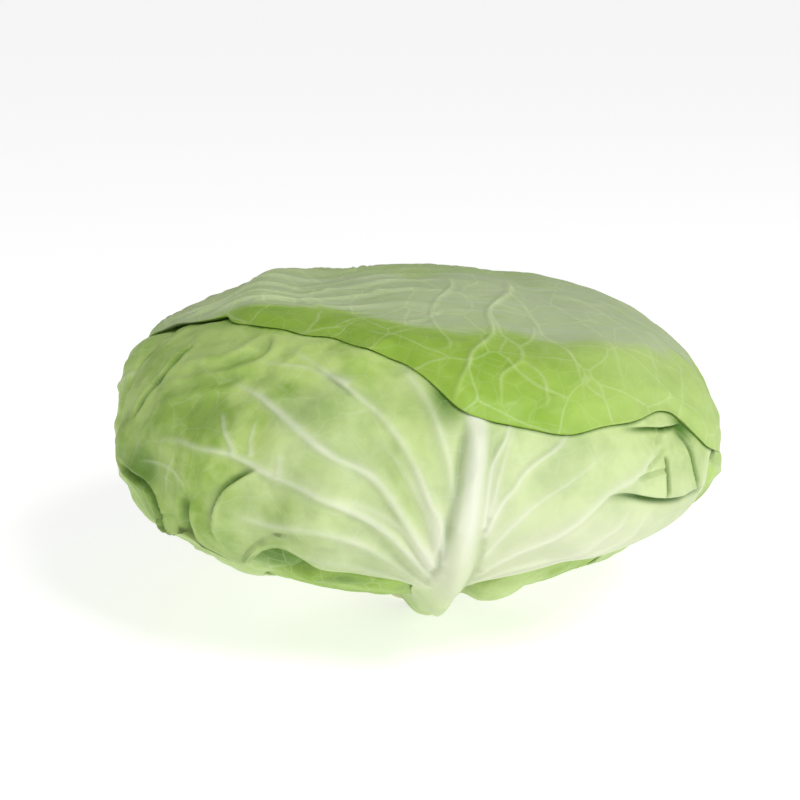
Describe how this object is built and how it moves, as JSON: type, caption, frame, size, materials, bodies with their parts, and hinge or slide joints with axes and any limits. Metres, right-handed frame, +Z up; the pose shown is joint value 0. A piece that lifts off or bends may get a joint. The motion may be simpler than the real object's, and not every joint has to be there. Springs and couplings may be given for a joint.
{
  "type": "cabbage head",
  "caption": "Flat round head of white cabbage with closely wrapped leaves, standing on its cut stalk.",
  "frame": {"origin": "middle of the stalk's cut face, which the head stands on", "axes": "+Z up along the stalk, -Y towards the front, where the broad pale leaf shows its midrib, +X to the right of someone facing the front"},
  "size_m": [0.2364, 0.2274, 0.1272],
  "materials": {
    "stalk_flesh": "pale cream cut plant flesh, matt and slightly moist",
    "inner_leaves": "pale yellow-green leaf, smooth and waxy",
    "low_leaf": "mid-green leaf, soft waxy sheen",
    "side_leaf": "green leaf with pale veins, soft waxy sheen",
    "front_leaf": "pale green leaf with a near-white midrib and veins, soft waxy sheen",
    "top_leaf": "yellow-green leaf with raised pale veins and a grey waxy bloom over the crown"
  },
  "bodies": {
    "root": {"stalk": "stalk_flesh", "inner_head": "inner_leaves", "low_left_leaf": "low_leaf", "low_right_leaf": "low_leaf", "left_leaf": "side_leaf", "right_leaf": "side_leaf", "front_leaf": "front_leaf", "top_leaf": "top_leaf"}
  },
  "joints": []
}
